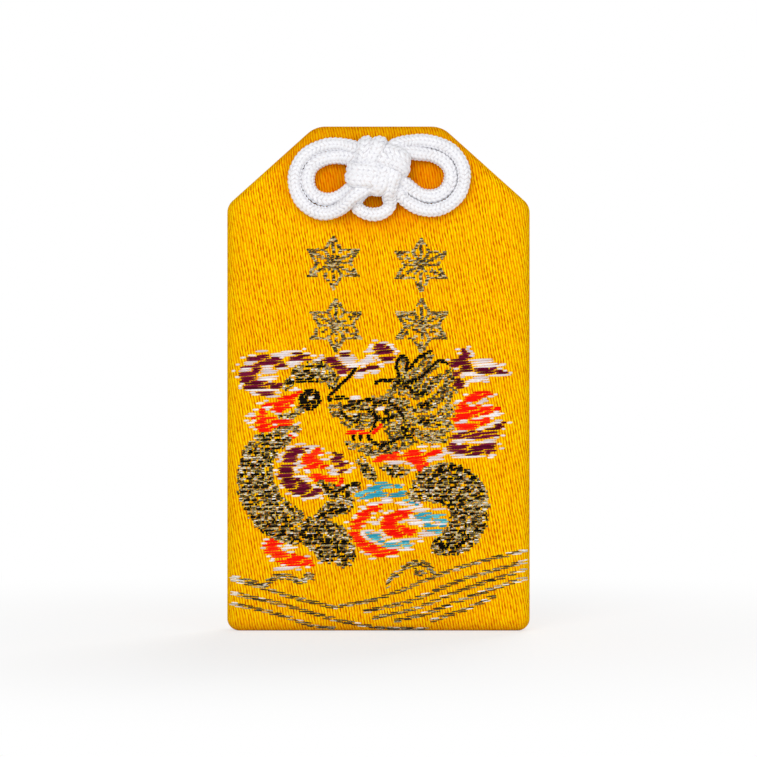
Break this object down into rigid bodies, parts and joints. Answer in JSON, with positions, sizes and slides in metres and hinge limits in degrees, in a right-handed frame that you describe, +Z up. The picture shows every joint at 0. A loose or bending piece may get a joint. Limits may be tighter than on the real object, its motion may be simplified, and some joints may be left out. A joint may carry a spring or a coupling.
{
  "type": "omamori charm pouch",
  "caption": "Flat brocade charm pouch with slanting shoulders, tied shut by a doubled crown knot of white braided cord, holding a wrapped wooden slip.",
  "frame": {"origin": "middle of the folded bottom edge, halfway through the pouch's thickness", "axes": "+Z up along the pouch's height, +X to the right seen from the front, -Y out of the front face that carries the knot"},
  "size_m": [0.045, 0.0134, 0.075],
  "materials": {
    "brocade": "yellow satin ground with woven coloured and gold wefts",
    "sewing_thread": "fine twisted thread",
    "card": "matt grey card",
    "paper": "matt white paper",
    "slip_wood": "plain planed wood",
    "braided_cord": "white braid of glossy yarn"
  },
  "bodies": {
    "pouch": {"brocade_pouch": "brocade", "left_seam_thread": "sewing_thread", "right_seam_thread": "sewing_thread", "front_card": "card", "rear_card": "card", "knot_cord": "braided_cord"},
    "wrapped_slip": {"slip_wrapper": "paper", "wooden_slip": "slip_wood"},
    "loop": {"hanging_loop": "braided_cord"}
  },
  "joints": [
    {"name": "loop_swing", "type": "hinge", "parent": "pouch", "child": "loop", "pos_m": [-0.0009, 0.0048, 0.0718], "axis": [1, 0, 0], "range_deg": [0, 180]},
    {"name": "slip_slide", "type": "slide", "parent": "pouch", "child": "wrapped_slip", "axis": [0, 0, 1], "range_m": [0, 0.005]}
  ]
}
